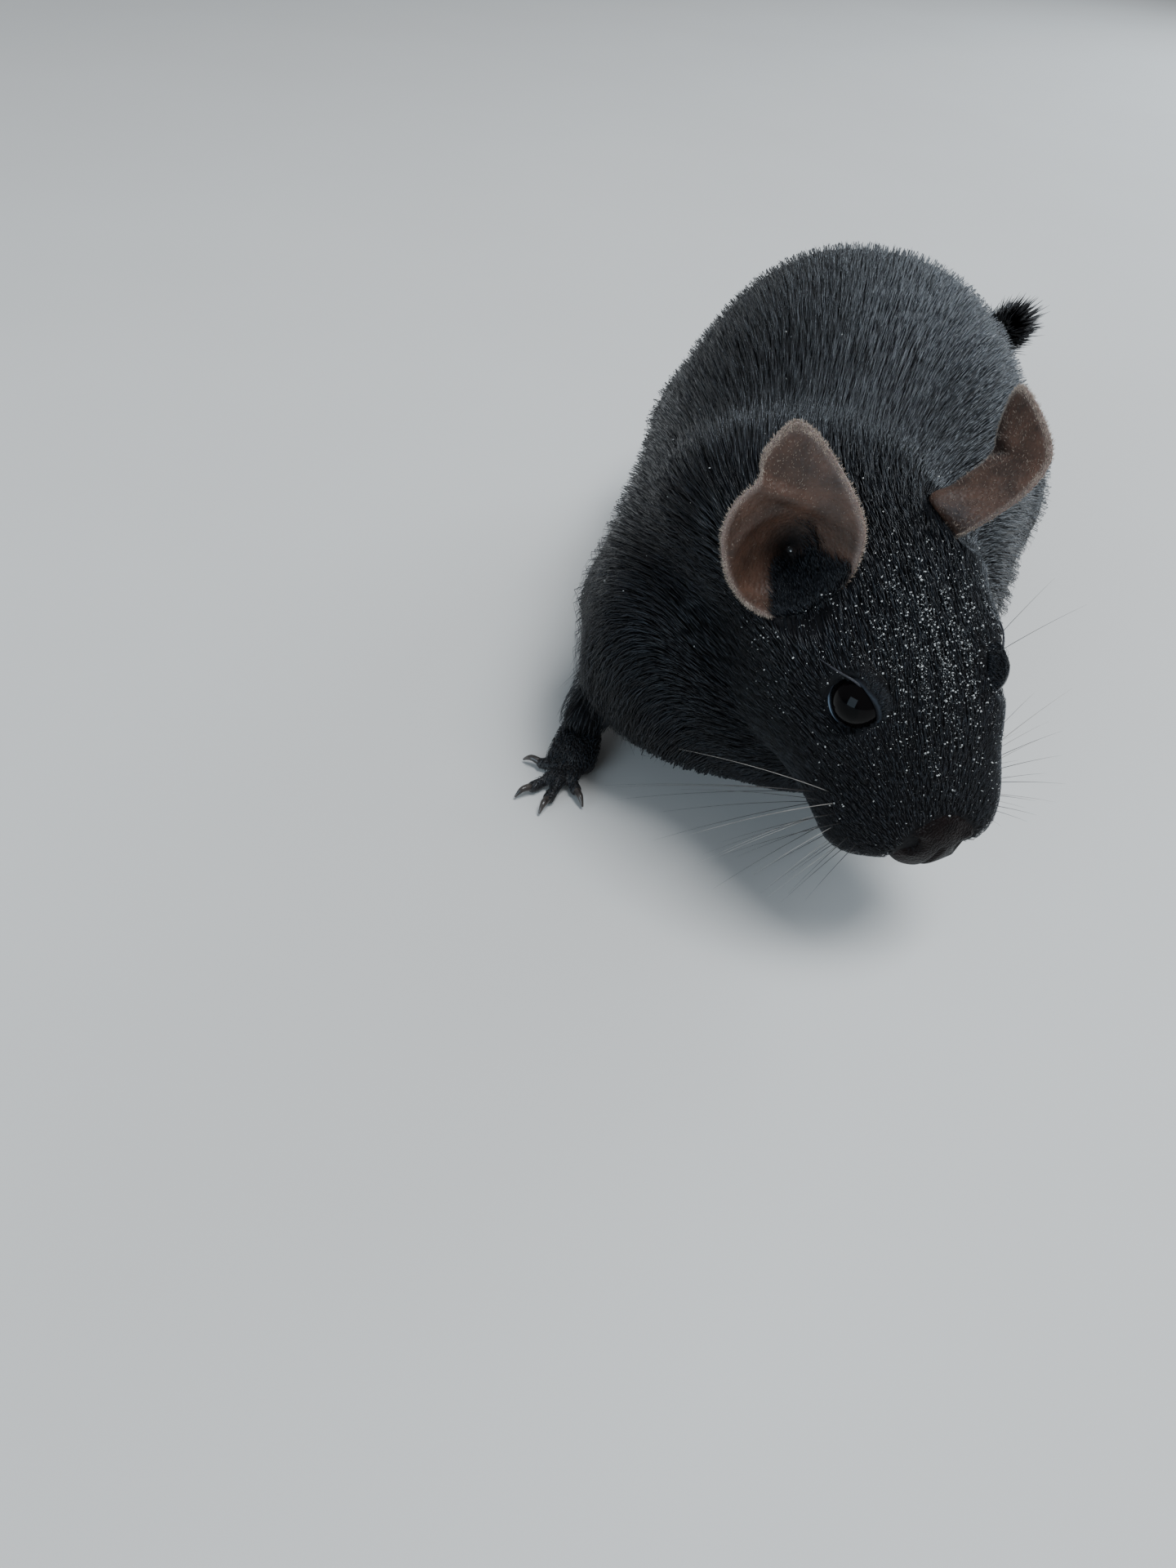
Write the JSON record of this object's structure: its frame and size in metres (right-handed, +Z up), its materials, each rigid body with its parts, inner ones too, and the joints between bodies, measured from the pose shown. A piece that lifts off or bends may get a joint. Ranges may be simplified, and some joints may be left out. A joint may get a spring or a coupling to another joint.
{
  "type": "degu",
  "caption": "Life-size still model of a black degu crouching on all fours, head lowered and turned to its left, tail hooked round behind with a brushed tip.",
  "frame": {"origin": "middle of the bounding box's footprint, on the floor plane that the four feet rest on", "axes": "+Z up, the animal's body faces -Y with its tail at +Y, and +X is the animal's left side; the head turns from -Y towards +X"},
  "size_m": [0.0796, 0.2062, 0.072],
  "materials": {
    "coat": "sleek short black fur with a cool sheen",
    "ear_skin": "thin brown skin with a fine pale down on the rim",
    "foot_skin": "dark skin with very short hair",
    "eye": "wet, glossy black",
    "claw": "dark horn, semi-gloss"
  },
  "bodies": {
    "root": {"torso": "coat", "neck": "coat", "head": "coat", "lower_jaw": "coat", "tail_base": "coat", "tail_middle": "coat", "tail_brush": "coat", "upper_arm_right": "coat", "forearm_right": "coat", "thigh_right": "coat", "shank_right": "coat", "upper_arm_left": "coat", "forearm_left": "coat", "thigh_left": "coat", "shank_left": "coat", "ear_right": "ear_skin", "ear_left": "ear_skin", "forefoot_right": "foot_skin", "hindfoot_right": "foot_skin", "forefoot_left": "foot_skin", "hindfoot_left": "foot_skin", "eye_right": "eye", "eye_left": "eye", "claw_fore_right_1": "claw", "claw_fore_right_2": "claw", "claw_fore_right_3": "claw", "claw_fore_right_4": "claw", "claw_hind_right_1": "claw", "claw_hind_right_2": "claw", "claw_hind_right_3": "claw", "claw_hind_right_4": "claw", "claw_hind_right_5": "claw", "claw_fore_left_1": "claw", "claw_fore_left_2": "claw", "claw_fore_left_3": "claw", "claw_fore_left_4": "claw", "claw_hind_left_1": "claw", "claw_hind_left_2": "claw", "claw_hind_left_3": "claw", "claw_hind_left_4": "claw", "claw_hind_left_5": "claw"}
  },
  "joints": []
}
